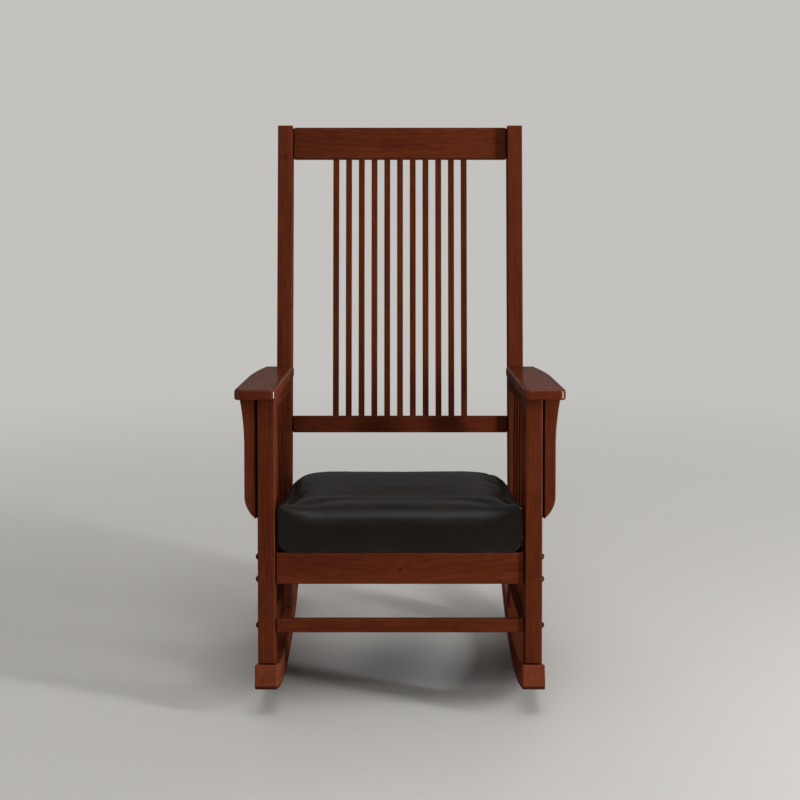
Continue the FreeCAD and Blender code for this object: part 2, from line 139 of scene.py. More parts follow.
# timber whose fibres run along the third axis of its vector, with one knot at a given place
def makeTimberGroup():
    inputs = [
        ("Vector", "NodeSocketVector", None),
        ("Place", "NodeSocketVector", None),
        ("Knot", "NodeSocketVector", (0, 0, -9)),
        ("Pale", "NodeSocketColor", (0.10, 0.02, 0.008, 1)),
        ("Dark", "NodeSocketColor", (0.05, 0.01, 0.004, 1)),
        ("Rings", "NodeSocketFloat", 90.0),
        ("Ring Depth", "NodeSocketFloat", 0.35),
        ("Bow", "NodeSocketFloat", 0.0),
        ("Pore Depth", "NodeSocketFloat", 0.5),
        ("Fleck Depth", "NodeSocketFloat", 0.75),
    ]
    outputs = [("Color", "NodeSocketColor"), ("Roughness", "NodeSocketFloat"), ("Height", "NodeSocketFloat")]
    tree, given, result = newGroup("timber", inputs, outputs)
    place = given["Vector"]
    split = axesOf(tree, place)
    drift = noiseOf(tree, stretched(tree, place, (22, 22, 2.4)), 3.0, 0.55)  # slow change of tone
    blotch = noiseOf(tree, stretched(tree, place, (75, 75, 28)), 2.0, 0.5)
    warp = noiseOf(tree, stretched(tree, place, (9, 9, 2.1)), 2.0, 0.5)
    radius = lengthOf(tree, split[0], split[1])
    bowed = maths(tree, "MULTIPLY", maths(tree, "MULTIPLY", split[2], split[2]), given["Bow"])
    away = vectorMaths(tree, "DISTANCE", given["Place"], given["Knot"])["Value"]
    swirl = remap(tree, away, 0.0, 0.03, 0.011, 0.0, True)  # the rings swing round the knot
    bent = maths(tree, "MULTIPLY_ADD", maths(tree, "SUBTRACT", warp, 0.5), 0.055, radius)
    bent = maths(tree, "ADD", maths(tree, "ADD", bent, bowed), swirl)
    turns = maths(tree, "MULTIPLY", bent, given["Rings"])
    ring = ringLine(tree, turns, 5.0)
    fineRing = ringLine(tree, maths(tree, "MULTIPLY", turns, 4.0), 2.0)
    fibre = noiseOf(tree, stretched(tree, place, (520, 520, 11)), 2.0, 0.6)
    streak = noiseOf(tree, stretched(tree, place, (260, 260, 30)), 2.0, 0.6)
    pore = noiseOf(tree, stretched(tree, place, (1500, 1500, 62)), 1.0, 0.5)
    poreMask = remap(tree, pore, 0.60, 0.74, 0.0, 1.0, True)
    cells = stretched(tree, place, (60, 60, 20))
    cell = addNode(tree, "ShaderNodeTexVoronoi", {"Vector": cells, "Scale": 1.0})
    chance = addNode(tree, "ShaderNodeSeparateColor", {0: cell.outputs["Color"]}).outputs[0]
    fleckSize = remap(tree, chance, 0.80, 1.0, 0.0, 0.14)  # most cells hold no fleck
    fleck = maths(tree, "SUBTRACT", fleckSize, cell.outputs["Distance"])
    fleck = remap(tree, fleck, 0.0, 0.06, 0.0, 1.0, True)
    knot = remap(tree, away, 0.0010, 0.0050, 0.7, 0.0, True)
    fleck = maths(tree, "MAXIMUM", fleck, knot)
    tone = remap(tree, drift, 0.25, 0.75, 0.0, 0.50)
    for layer, depth in ((ring, given["Ring Depth"]), (fineRing, 0.14)):
        tone = maths(tree, "MULTIPLY_ADD", layer, depth, tone)
    for layer, depth in ((blotch, 0.45), (streak, 0.55), (fibre, 0.55)):
        tone = maths(tree, "MULTIPLY_ADD", maths(tree, "SUBTRACT", layer, 0.5), depth, tone)
    tone = maths(tree, "ADD", tone, 0.06, clamp=True)
    colour = mixColour(tree, tone, given["Pale"], given["Dark"])
    shade = maths(tree, "MULTIPLY_ADD", poreMask, maths(tree, "MULTIPLY", given["Pore Depth"], -1.0), 1.0)
    spot = maths(tree, "MULTIPLY_ADD", fleck, maths(tree, "MULTIPLY", given["Fleck Depth"], -1.0), 1.0)
    shade = maths(tree, "MULTIPLY", shade, spot)
    link(tree, result["Color"], mixColour(tree, shade, (0.006, 0.002, 0.001, 1), colour))
    gloss = maths(tree, "MULTIPLY_ADD", poreMask, 0.12, remap(tree, drift, 0.2, 0.8, -0.03, 0.05))
    link(tree, result["Roughness"], gloss)
    relief = maths(tree, "MULTIPLY_ADD", fibre, 0.35, maths(tree, "MULTIPLY", poreMask, -0.6))
    link(tree, result["Height"], relief)
    return tree


# each ring darkens towards its late wood, then stops
def ringLine(tree, turns, sharpness):
    part = maths(tree, "FRACT", turns)
    late = maths(tree, "POWER", part, sharpness)
    return maths(tree, "MULTIPLY", late, remap(tree, part, 0.92, 1.0, 1.0, 0.0, True))


# how near a point lies to a sharp outside edge
def makeEdgeGroup():
    tree, given, result = newGroup(
        "rubbedEdge", [("Vector", "NodeSocketVector", None)], [("Mask", "NodeSocketFloat")])
    soft = addNode(tree, "ShaderNodeBevel", {"Radius": 0.004}, samples=6).outputs[0]
    flat = tree.nodes.new("ShaderNodeNewGeometry").outputs["Normal"]
    turn = vectorMaths(tree, "DOT_PRODUCT", soft, flat)["Value"]
    patch = noiseOf(tree, stretched(tree, given["Vector"], (70, 70, 70)), 2.0)
    worn = remap(tree, maths(tree, "SUBTRACT", 1.0, turn), 0.02, 0.22, 0.0, 1.0, True)
    link(tree, result["Mask"], maths(tree, "MULTIPLY", worn, remap(tree, patch, 0.35, 0.7, 0.25, 1.0)))
    return tree


timber = makeTimberGroup()
rubbedEdge = makeEdgeGroup()

stain = {
    "pale": (0.113, 0.0232, 0.0080, 1),
    "dark": (0.036, 0.0068, 0.0028, 1),
    "rubbed": (0.170, 0.042, 0.015, 1),
    "rubbedShare": 0.5,
    # painted shade for the joints' grooves and the rockers' lower edges
    "paintedShade": (0.0040, 0.0012, 0.0006, 1),
    "roughness": 0.58,
    "specular": 0.0,
    "coat": 0.03,
    "edgeCoat": 0.11,  # more lacquer shows on rubbed edges and on handled faces
    "coatIndex": 2.4,
    "coatRoughness": 0.18,
    "relief": 0.00012,
}
# where shade is painted dark into the grooves of the joints and onto the rockers' lower edges, and which
# faces hands polish, in metres
joints = {
    "shoulder": 0.2508,  # from the middle plane to the rails' shoulders
    "corbel": 0.2933,  # and to the corbels' inner faces
    "foot": 1.2472,  # radius, about the rockers' centre, of the grooves above them
    "blur": 0.0003,
    "armFront": (0.0, -0.355, 0.669),
    "armMiddle": 0.2915,  # the arms' corners lie this far from the middle plane, give or take
    "armCorner": 0.0300,
    "sole": 1.2935,  # radius beyond which the rockers' lower edges get painted shade
}


# the mask rises where a measure passes a limit
def passing(tree, measure, limit):
    return remap(tree, measure, limit - joints["blur"], limit + joints["blur"])


# distance from the chair's middle plane
def acrossOf(tree, place):
    return maths(tree, "ABSOLUTE", axesOf(tree, place)[0])


# masks of painted shade in the grooves at the rails' shoulders, beside the corbels and above the rockers
def shoulderGap(tree, place):
    return passing(tree, acrossOf(tree, place), joints["shoulder"])


def corbelGap(tree, place):
    return maths(tree, "SUBTRACT", 1.0, passing(tree, acrossOf(tree, place), joints["corbel"]))


def footGap(tree, place):
    return passing(tree, rockerPlace(tree, place)[1], joints["foot"])


# a point's angle and radius about the centre of the rockers' arc
def rockerPlace(tree, place):
    split = axesOf(tree, place)
    back = maths(tree, "SUBTRACT", split[1], chair["rockerTouch"][1])
    drop = maths(tree, "SUBTRACT", chair["rockerTouch"][2], split[2])
    return maths(tree, "ARCTAN2", back, drop), lengthOf(tree, back, drop)


# painted shade on the rockers' lower edges and chamfers, which face the floor
def soleShade(tree, place):
    radius = rockerPlace(tree, place)[1]
    return remap(tree, radius, joints["sole"] - 0.0008, joints["sole"] + 0.0008, 0.0, 0.55)


# the arms' tops and front corners
def handledFaces(tree, place):
    turn = math.radians(chair["seatSlope"])
    offset = vectorMaths(tree, "SUBTRACT", place, joints["armFront"])["Vector"]
    upward = (0.0, math.sin(turn), math.cos(turn))
    backward = (0.0, math.cos(turn), -math.sin(turn))
    rise = vectorMaths(tree, "DOT_PRODUCT", offset, upward)["Value"]
    run = vectorMaths(tree, "DOT_PRODUCT", offset, backward)["Value"]
    aside = maths(tree, "ABSOLUTE", maths(tree, "SUBTRACT", acrossOf(tree, place), joints["armMiddle"]))
    cornered = remap(tree, aside, joints["armCorner"], joints["armCorner"] + 0.003)
    corner = maths(tree, "MULTIPLY", remap(tree, run, 0.016, 0.010), cornered)
    return maths(tree, "MAXIMUM", remap(tree, rise, -0.006, -0.001), corner)


def finishTimber(tree, shader, place, along, look, figure, shadeMask=None, handled=None):
    inputs = {"Vector": along, "Place": place, "Pale": look["pale"], "Dark": look["dark"]}
    grain = useGroup(tree, timber, dict(inputs, **figure))
    worn = useGroup(tree, rubbedEdge, {"Vector": place})["Mask"]
    share = maths(tree, "MULTIPLY", worn, look["rubbedShare"])
    colour = mixColour(tree, share, grain["Color"], look["rubbed"])
    polish = maths(tree, "MAXIMUM", worn, handled(tree, place)) if handled else worn
    # painted shade: the colour is darkened, with no extra lacquer, in the grooves of the joints and on the
    # rockers' lower edges
    if shadeMask:
        groove = shadeMask(tree, place)
        colour = mixColour(tree, groove, colour, look["paintedShade"])
        polish = maths(tree, "MULTIPLY", polish, maths(tree, "SUBTRACT", 1.0, groove))
    link(tree, shader.inputs["Base Color"], colour)
    lacquer = look["coat"]
    if look["edgeCoat"]:
        lacquer = maths(tree, "MULTIPLY_ADD", polish, look["edgeCoat"], lacquer)
    link(tree, shader.inputs["Coat Weight"], lacquer)
    rough = maths(tree, "ADD", grain["Roughness"], look["roughness"])
    link(tree, shader.inputs["Roughness"], rough)
    relief = {"Height": grain["Height"], "Distance": look["relief"], "Strength": 0.8}
    link(tree, shader.inputs["Normal"], addNode(tree, "ShaderNodeBump", relief).outputs[0])
    shader.inputs["Specular IOR Level"].default_value = look["specular"]
    shader.inputs["Coat Roughness"].default_value = look["coatRoughness"]
    shader.inputs["Coat IOR"].default_value = look["coatIndex"]


# turn brings a piece's length onto the third axis; pith is where its tree's middle lies from it; shadeMask
# marks where shade is painted into the colour
def makeStained(name, turn, pith, look=stain, shadeMask=None, handled=None, **figure):
    material, tree, shader, place = newMaterial(name)
    degrees = [math.radians(angle) for angle in turn]
    along = addNode(tree, "ShaderNodeMapping", {"Vector": place, "Rotation": degrees, "Location": pith})
    finishTimber(tree, shader, place, along.outputs["Vector"], look, figure, shadeMask, handled)
    return material


def makeStainedArc(name, look):
    material, tree, shader, place = newMaterial(name)
    angle, radius = rockerPlace(tree, place)
    across = maths(tree, "ADD", axesOf(tree, place)[0], 0.04)
    depth = maths(tree, "SUBTRACT", radius, chair["rockerRadius"] - 0.09)
    length = maths(tree, "MULTIPLY", angle, chair["rockerRadius"])
    along = addNode(tree, "ShaderNodeCombineXYZ", {0: across, 1: depth, 2: length})
    finishTimber(tree, shader, place, along.outputs[0], look, {"Rings": 110.0}, soleShade)
    return material


slope = 90 + chair["seatSlope"]
postTurn, postPith = (chair["postLean"] + 0.7, 0.5, 0), (0.05, -0.06, 0)
stainedPost = makeStained("stainedPost", postTurn, postPith, shadeMask=footGap, Knot=(-0.272, 0.371, 1.082))
legTurn, legPith = (chair["legLean"] - 0.6, 0.8, 0), (0.06, 0.35, 0)
stainedLeg = makeStained("stainedLeg", legTurn, legPith, shadeMask=footGap, Rings=110.0)
stainedCorbel = makeStained("stainedCorbel", legTurn, legPith, shadeMask=corbelGap, Rings=110.0)
# a darker copy of the stain: painted shade on the spindles
spindleShadedLook = dict(stain, pale=(0.100, 0.0205, 0.0070, 1), dark=(0.032, 0.0060, 0.0025, 1))
stainedSpindle = makeStained("stainedSpindle", postTurn, postPith, spindleShadedLook)
sideLook = dict(stain, coat=0.010)
stainedSlat = makeStained("stainedSlat", (chair["seatSlope"], 0.4, 0), (0.03, 0.02, 0), sideLook, Rings=150.0)
stainedCross = makeStained("stainedCross", (1.0, -90.0, 0), (-0.62, 0.40, 0), shadeMask=shoulderGap,
                           Rings=70.0, Bow=-0.4, Knot=(0.0, -0.3845, 0.300))
stainedSide = makeStained("stainedSide", (slope, 0.7, 0), (0.04, 0.1, 0), sideLook, Rings=110.0)
stainedArm = makeStained("stainedArm", (slope, 0.7, 0), (0.04, 0.1, 0), handled=handledFaces, Rings=110.0)
# a lighter copy of the stain: painted light on the rockers
runnerLitLook = dict(stain, pale=(0.176, 0.0420, 0.0175, 1), dark=(0.062, 0.0132, 0.0060, 1))
stainedArc = makeStainedArc("stainedArc", runnerLitLook)
darkPlug = dict(stain, pale=(0.030, 0.0075, 0.0040, 1), dark=(0.014, 0.0038, 0.0022, 1), rubbedShare=0.15)
stainedPlug = makeStained("stainedPlug", (0, 90, 0), (0.0, 0.0, 0), darkPlug, Rings=400.0)
bareLook = dict(stain, pale=(0.58, 0.38, 0.20, 1), dark=(0.40, 0.23, 0.10, 1), rubbed=(0.62, 0.45, 0.27, 1),
                roughness=0.62, coat=0.0, edgeCoat=0.0)
bareWood = makeStained("bareWood", (0, 0, 0), (0.1, 0.1, 0), bareLook, Rings=240.0)
plyLook = dict(bareLook, pale=(0.62, 0.45, 0.27, 1), dark=(0.46, 0.30, 0.15, 1))
plywood = makeStained("plywood", (slope, 0, 0), (0.02, 0.3, 0), plyLook, Rings=260.0)
print("timber finishes made")


def makeSteel():
    material, tree, shader, place = newMaterial("platedSteel")
    streak = noiseOf(tree, stretched(tree, place, (260, 1800, 1800)), 3.0, 0.6)
    tint = mixColour(tree, streak, (0.42, 0.42, 0.41, 1), (0.62, 0.61, 0.58, 1))
    link(tree, shader.inputs["Base Color"], tint)
    link(tree, shader.inputs["Roughness"], remap(tree, streak, 0.2, 0.8, 0.26, 0.46))
    shader.inputs["Metallic"].default_value = 1.0
    return material


platedSteel = makeSteel()

hide = {
    "colour": (0.0040, 0.0024, 0.0014, 1),
    "rubbed": (0.0082, 0.0056, 0.0038, 1),
    "roughness": 0.46,
    "specular": 0.0045,
    "coat": 0.110,
    "coatIndex": 2.4,
    "coatRoughness": 0.40,
    "grain": 0.00022,
    "creases": 0.0009,
}


def makeLeather():
    material, tree, shader, place = newMaterial("blackLeather")
    cells = stretched(tree, place, (760, 760, 760))
    cell = addNode(tree, "ShaderNodeTexVoronoi", {"Vector": cells, "Scale": 1.0}, feature="DISTANCE_TO_EDGE")
    pebble = remap(tree, cell.outputs["Distance"], 0.0, 0.28, 0.0, 1.0, True)
    slack = noiseOf(tree, stretched(tree, place, (26, 26, 26)), 4.0, 0.55)
    pull = noiseOf(tree, stretched(tree, place, (70, 24, 24)), 3.0, 0.5)
    patch = noiseOf(tree, stretched(tree, place, (11, 11, 11)), 3.0, 0.6)
    tone = remap(tree, patch, 0.3, 0.75)
    link(tree, shader.inputs["Base Color"], mixColour(tree, tone, hide["colour"], hide["rubbed"]))
    sheen = maths(tree, "MULTIPLY_ADD", pebble, -0.06, remap(tree, slack, 0.25, 0.75, 0.0, 0.09))
    link(tree, shader.inputs["Roughness"], maths(tree, "ADD", sheen, hide["roughness"]))
    folds = maths(tree, "MULTIPLY_ADD", pull, 0.6, slack)
    large = addNode(tree, "ShaderNodeBump", {"Height": folds, "Distance": hide["creases"], "Strength": 0.7})
    fine = addNode(tree, "ShaderNodeBump", {
        "Height": pebble, "Distance": hide["grain"], "Strength": 0.6, "Normal": large.outputs[0]})
    link(tree, shader.inputs["Normal"], fine.outputs[0])
    shader.inputs["Specular IOR Level"].default_value = hide["specular"]
    shader.inputs["Coat Weight"].default_value = hide["coat"]
    shader.inputs["Coat IOR"].default_value = hide["coatIndex"]
    shader.inputs["Coat Roughness"].default_value = hide["coatRoughness"]
    return material


def makeDustCloth():
    material, tree, shader, place = newMaterial("dustCloth")
    split = axesOf(tree, place)
    warpThread = maths(tree, "SINE", maths(tree, "MULTIPLY", split[0], 3600.0))
    weftThread = maths(tree, "SINE", maths(tree, "MULTIPLY", split[1], 3600.0))
    weave = remap(tree, maths(tree, "MULTIPLY", warpThread, weftThread), -1.0, 1.0)
    fuzz = noiseOf(tree, stretched(tree, place, (90, 90, 90)), 4.0, 0.6)
    thread = maths(tree, "MULTIPLY", weave, fuzz)
    dye = mixColour(tree, thread, (0.010, 0.010, 0.011, 1), (0.036, 0.035, 0.036, 1))
    link(tree, shader.inputs["Base Color"], dye)
    link(tree, shader.inputs["Roughness"], remap(tree, fuzz, 0.2, 0.8, 0.82, 0.97))
    bump = addNode(tree, "ShaderNodeBump", {"Height": weave, "Distance": 0.0003, "Strength": 0.6})
    link(tree, shader.inputs["Normal"], bump.outputs[0])
    return material


blackLeather = makeLeather()
dustCloth = makeDustCloth()
print("leather, cloth and steel made")

# which finish each CAD node takes, by the start of its name
finishes = [
    ("rocker_dowels", bareWood), ("arm_dowels", bareWood), ("corbel_dowels", stainedCorbel),
    ("rocker", stainedArc), ("front_leg", stainedLeg), ("corbel", stainedCorbel), ("rear_post", stainedPost),
    ("back_spindle", stainedSpindle), ("arm_rail", stainedSide), ("arm", stainedArm),
    ("seat_rail", stainedSide), ("seat_cleat", stainedSide),
    ("corner_block", stainedLeg), ("side_stretcher", stainedSide),
    ("side_slat", stainedSlat), ("crest_rail", stainedCross), ("lower_back_rail", stainedCross),
    ("rear_seat_rail", stainedCross), ("front_", stainedCross), ("button_plugs", stainedPlug),
    ("seat_board", plywood), ("frame_bolts", platedSteel), ("barrel_nuts", platedSteel),
    ("seat_screws", platedSteel), ("seat_", blackLeather),
]
for nodeName, piece in nodes.items():
    finish = next(material for start, material in finishes if nodeName.startswith(start))
    piece.data.materials.clear()
    piece.data.materials.append(finish)
print("CAD nodes dressed")

# seat cushion, worked in seat axes: across, back along the seat plane, and up from it
cushion = {
    "half": 0.246,
    "front": 0.006,
    "rear": 0.560,
    "corner": 0.022,
    "flankRise": (0.0, 0.006, 0.020),  # the base is tucked in by this much at these heights
    "flankInset": (0.004, 0.0010, 0.0),
    "voxel": 0.006,
    "pressure": 4.0,
    "frames": 20,
    "cap": 0.006,
    "edgeShare": 0.35,  # the sewn edge gives less than the panels
    "side": 0.2472,  # the sides' widest line, drawn in by this much halfway along
    "sideDraw": 0.0015,
    "sideRoom": 0.2490,  # nothing reaches further out than this
    "shoulder": 0.034,  # the upper side edges are filled out over this reach, to this round
    "shoulderRound": 0.014,
    "shoulderTop": (0.0985, 0.0770),  # their height at the front and at the rear
    "foreCorner": 0.030,  # and so are the upright edges at the front
    "foreRound": 0.012,
    "smoothing": 12,
    "under": -0.0008,
}
sewing = {
    "inset": 0.014,  # the seam lies this far in, and further behind the rolled front edge
    "frontInset": 0.057,
    "depth": 0.0024,
    "cornerDepth": 0.0022,
    "width": 0.0060,
    "frontWidth": 0.0110,
    "dip": 0.011,  # the rear corners drop, steeply and then slowly
    "dipReach": 0.034,
    "slowDip": 0.004,
    "slowReach": 0.080,
    "rollTop": 0.103,  # the front edge is rolled to these radii, in the middle and at its ends
    "rollMiddle": 0.060,
    "rollEnd": 0.012,
    "lean": 0.001,  # the panels' upper halves lean in
    "ripple": 0.0009,
    "rippleSize": 0.075,
}
# creases in the leather: across and back on top, across and up on the front panel, then depth and width
topCreases = [
    ((0.246, 0.300), (0.200, 0.345), 0.0046, 0.013),
    ((0.246, 0.358), (0.190, 0.410), 0.0056, 0.013),
    ((0.245, 0.414), (0.184, 0.466), 0.0056, 0.013),
    ((0.244, 0.468), (0.190, 0.520), 0.0050, 0.013),
    ((-0.240, 0.330), (-0.212, 0.395), 0.0013, 0.009),
    ((-0.239, 0.430), (-0.205, 0.500), 0.0016, 0.009),
    ((-0.236, 0.030), (-0.165, 0.045), 0.0018, 0.010),
    ((0.236, 0.030), (0.170, 0.050), 0.0016, 0.010),
]
frontCreases = [
    ((0.244, 0.082), (0.200, 0.058), 0.0014, 0.007),
    ((0.244, 0.066), (0.214, 0.028), 0.0012, 0.007),
    ((-0.244, 0.080), (-0.208, 0.060), 0.0010, 0.008),
]


def toSeat(points):
    turn = math.radians(chair["seatSlope"])
    offset = points - np.array(chair["seatFront"])
    back = offset[:, 1] * math.cos(turn) - offset[:, 2] * math.sin(turn)
    up = offset[:, 1] * math.sin(turn) + offset[:, 2] * math.cos(turn)
    return np.stack([offset[:, 0], back, up], 1)


def fromSeat(points):
    turn = math.radians(chair["seatSlope"])
    y = points[:, 1] * math.cos(turn) + points[:, 2] * math.sin(turn)
    z = -points[:, 1] * math.sin(turn) + points[:, 2] * math.cos(turn)
    return np.stack([points[:, 0], y, z], 1) + np.array(chair["seatFront"])


def bell(distance, width):
    return np.exp(-(distance / width) ** 2)


def ramp(value, low, high):
    return np.clip((value - low) / (high - low), 0, 1)


def readPoints(mesh):
    flat = np.zeros(len(mesh.vertices) * 3, np.float32)
    mesh.vertices.foreach_get("co", flat)
    return flat.reshape(-1, 3).astype(float)


def writePoints(mesh, points):
    mesh.vertices.foreach_set("co", points.astype(np.float32).ravel())
    mesh.update()


def readNormals(mesh):
    flat = np.zeros(len(mesh.vertices) * 3, np.float32)
    mesh.vertex_normals.foreach_get("vector", flat)
    return flat.reshape(-1, 3).astype(float)


# distance inside the seat's rounded outline, seen square to the seat plane
def insetOf(seat):
    middle = (cushion["front"] + cushion["rear"]) / 2
    halfLength = (cushion["rear"] - cushion["front"]) / 2
    across = np.abs(seat[:, 0]) - (cushion["half"] - cushion["corner"])
    along = np.abs(seat[:, 1] - middle) - (halfLength - cushion["corner"])
    outside = np.hypot(np.maximum(across, 0), np.maximum(along, 0))
    return cushion["corner"] - outside - np.minimum(np.maximum(across, along), 0)


# the way straight out from the outline
def outwardOf(seat):
    step = 1e-4
    ways = []
    for axis in ((step, 0, 0), (0, step, 0)):
        ways.append((insetOf(seat - axis) - insetOf(seat + np.array(axis))) / (2 * step))
    return np.stack(ways + [np.zeros(len(seat))], 1)


def cornerReach(seat):
    across = np.abs(seat[:, 0]) - cushion["half"]
    along = np.minimum(np.abs(seat[:, 1] - cushion["front"]), np.abs(seat[:, 1] - cushion["rear"]))
    return np.hypot(across, along)


def bakeModifiers(piece):
    graph = bpy.context.evaluated_depsgraph_get()
    mesh = bpy.data.meshes.new_from_object(piece.evaluated_get(graph))
    piece.modifiers.clear()
    old = piece.data
    piece.data = mesh
    bpy.data.meshes.remove(old)
    return piece


# cover, foam and board as one even skin, its base drawn tight again over the board
def startCushion():
    mesh = bpy.data.meshes.new("seatCushion")
    bm = bmesh.new()
    for layer in ("seat_cover", "seat_foam", "seat_board"):
        bm.from_mesh(nodes[layer].data)
    bmesh.ops.remove_doubles(bm, verts=bm.verts, dist=1e-5)
    bm.to_mesh(mesh)
    bm.free()
    piece = bpy.data.objects.new("seatCushion", mesh)
    bpy.context.scene.collection.objects.link(piece)
    remesh = piece.modifiers.new("even", "REMESH")
    remesh.mode = "VOXEL"
    remesh.voxel_size = cushion["voxel"]
    return bakeModifiers(piece)


def tightenBase(piece):
    seat = toSeat(readPoints(piece.data))
    inset = insetOf(seat)
    wanted = np.interp(seat[:, 2], cushion["flankRise"], cushion["flankInset"])
    side = (1 - ramp(inset, 0.010, 0.016)) * (1 - ramp(seat[:, 2], 0.024, 0.034))
    seat += outwardOf(seat) * (np.maximum(inset - wanted, 0) * side)[:, None]
    bottom = 1 - ramp(seat[:, 2], 0.003, 0.006)
    seat[:, 2] += (cushion["under"] - seat[:, 2]) * bottom
    writePoints(piece.data, fromSeat(seat))


# the leather is held where it is tacked to the board
def swellCushion(piece):
    start = readPoints(piece.data)
    seat = toSeat(start)
    held = piece.vertex_groups.new(name="held")
    level = np.round(10 * (1 - ramp(seat[:, 2], 0.012, 0.028))).astype(int)
    for tenth in range(1, 11):
        held.add(np.nonzero(level == tenth)[0].tolist(), tenth / 10, "REPLACE")
    cloth = piece.modifiers.new("swell", "CLOTH")
    cloth.settings.quality = 5
    cloth.settings.tension_stiffness = 15
    cloth.settings.compression_stiffness = 15
    cloth.settings.bending_stiffness = 0.5
    cloth.settings.use_pressure = True
    cloth.settings.uniform_pressure_force = cushion["pressure"]
    cloth.settings.vertex_group_mass = "held"
    cloth.settings.effector_weights.gravity = 0.0
    cloth.point_cache.frame_start = 1
    cloth.point_cache.frame_end = cushion["frames"]
    scene = bpy.context.scene
    for step in range(1, cushion["frames"] + 1):
        scene.frame_set(step)
    bakeModifiers(piece)
    scene.frame_set(1)
    move = readPoints(piece.data) - start
    length = np.linalg.norm(move, axis=1)
    inset = insetOf(seat)
    edge = bell(inset - 0.012, 0.022) * ramp(seat[:, 2], 0.05, 0.08)
    wall = 1 - ramp(inset, 0.010, 0.030)
    column = bell(cornerReach(seat), 0.045)
    give = 1 - (1 - cushion["edgeShare"]) * np.maximum(np.maximum(edge, column), wall)
    share = give * np.minimum(1.0, cushion["cap"] / np.maximum(length, 1e-9))
    writePoints(piece.data, start + move * share[:, None])
    piece.vertex_groups.clear()
    print("cushion swelled by up to", round(float(length.max()) * 1000, 1), "mm, capped")


def creaseDepth(flat, creases):
    depth = np.zeros(len(flat))
    for start, end, deep, width in creases:
        first, way = np.array(start), np.array(end) - np.array(start)
        along = (flat - first) @ way / (way @ way)
        away = np.linalg.norm(flat - first - np.clip(along, 0, 1)[:, None] * way, axis=1)
        depth += deep * bell(away, width) * (1 - 0.6 * np.clip(along, 0, 1))
    return depth


# the sides brought out to their widest line, less a small draw halfway along
def straightenSides(seat):
    middle = (cushion["front"] + cushion["rear"]) / 2
    halfLength = (cushion["rear"] - cushion["front"]) / 2
    bands = 12
    band = np.clip((seat[:, 1] / cushion["rear"] * bands).astype(int), 0, bands - 1)
    centres = (np.arange(bands) + 0.5) / bands * cushion["rear"]
    wanted = cushion["side"] - cushion["sideDraw"] * (1 - ((centres - middle) / halfLength) ** 2)
    for sign in (-1, 1):
        widest = np.array([(sign * seat[band == index, 0]).max() for index in range(bands)])
        widest[0], widest[-1] = widest[1], widest[-2]
        short = np.interp(seat[:, 1], centres, wanted - widest)
        flank = ramp(sign * seat[:, 0], cushion["half"] - 0.050, cushion["half"] - 0.012)
        seat[:, 0] += sign * short * flank * ramp(seat[:, 2], 0.008, 0.030)


# how far each point falls short of a square edge with a small round, the square's faces being at 1
def edgeShort(first, second, small):
    length = np.maximum(np.hypot(first, second), 1e-9)
    more, less = np.maximum(first, second), np.minimum(first, second)
    centre = 1 - small
    turn = np.maximum(more + less, 0) / length * centre
    root = np.sqrt(np.maximum(turn ** 2 - 2 * centre ** 2 + small ** 2, 0))
    wanted = np.where(less < centre * more, length / np.maximum(more, 1e-9), turn + root)
    fade = ramp(less / np.maximum(more, 1e-9), 0.0, 0.45)  # nothing where the faces carry on flat
    return np.maximum(wanted - length, 0) / length * fade * ramp(length, 0.4, 0.7)


# the upper side edges and the upright front ones filled out, so that they turn sharply
def fillEdges(seat):
    reach = cushion["shoulder"]
    top = np.interp(seat[:, 1], (cushion["front"], cushion["rear"]), cushion["shoulderTop"])
    aside = np.abs(seat[:, 0]) - cushion["side"] + reach
    above = seat[:, 2] - top + reach
    along = ramp(seat[:, 1], 0.000, 0.030) * (1 - ramp(seat[:, 1], 0.470, 0.530))
    push = edgeShort(aside / reach, above / reach, cushion["shoulderRound"] / reach) * along
    seat[:, 0] += np.sign(seat[:, 0]) * push * aside
    seat[:, 2] += push * above
    reach = cushion["foreCorner"]
    aside = np.abs(seat[:, 0]) - cushion["side"] + reach
    ahead = cushion["front"] - seat[:, 1] + reach
    push = edgeShort(aside / reach, ahead / reach, cushion["foreRound"] / reach)
    push *= ramp(seat[:, 2], 0.000, 0.008)
    seat[:, 0] += np.sign(seat[:, 0]) * push * aside
    seat[:, 1] -= push * ahead


# evens out the skin where a weight asks for it
def smoothSkin(mesh, seat, weight):
    ends = np.zeros(len(mesh.edges) * 2, np.int32)
    mesh.edges.foreach_get("vertices", ends)
    first, second = ends.reshape(-1, 2).T
    count = np.bincount(ends, minlength=len(seat))[:, None]
    for turn in range(cushion["smoothing"]):
        total = np.zeros_like(seat)
        np.add.at(total, first, seat[second])
        np.add.at(total, second, seat[first])
        seat += (total / count - seat) * weight[:, None]


# the front panel brought forward and its upper edge rolled over to a round
def rollFront(seat):
    side = np.abs(seat[:, 0]) / cushion["half"]
    radius = sewing["rollEnd"] + (sewing["rollMiddle"] - sewing["rollEnd"]) * (1 - ramp(side, 0.66, 1.0) ** 2)
    face = (1 - ramp(seat[:, 1], 0.020, 0.034)) * ramp(seat[:, 2], 0.002, 0.020)
    above = (seat[:, 2] - sewing["rollTop"] + radius) / radius
    seat[:, 1] += (cushion["front"] - seat[:, 1]) * face * (above <= 0)
    ahead = (cushion["front"] + radius - seat[:, 1]) / radius
    length = np.maximum(np.hypot(ahead, above), 1e-9)
    allowed = 1 + np.maximum(above - 1, 0) * (1 - ramp(ahead, 0.0, 0.5))
    filled = np.where(length > allowed, 1.0, ramp(ahead, 0.1, 0.5))
    change = (allowed - length) / length * filled * (ahead > 0) * (above > 0)
    seat[:, 1] -= ahead * change * radius
    seat[:, 2] += above * change * radius


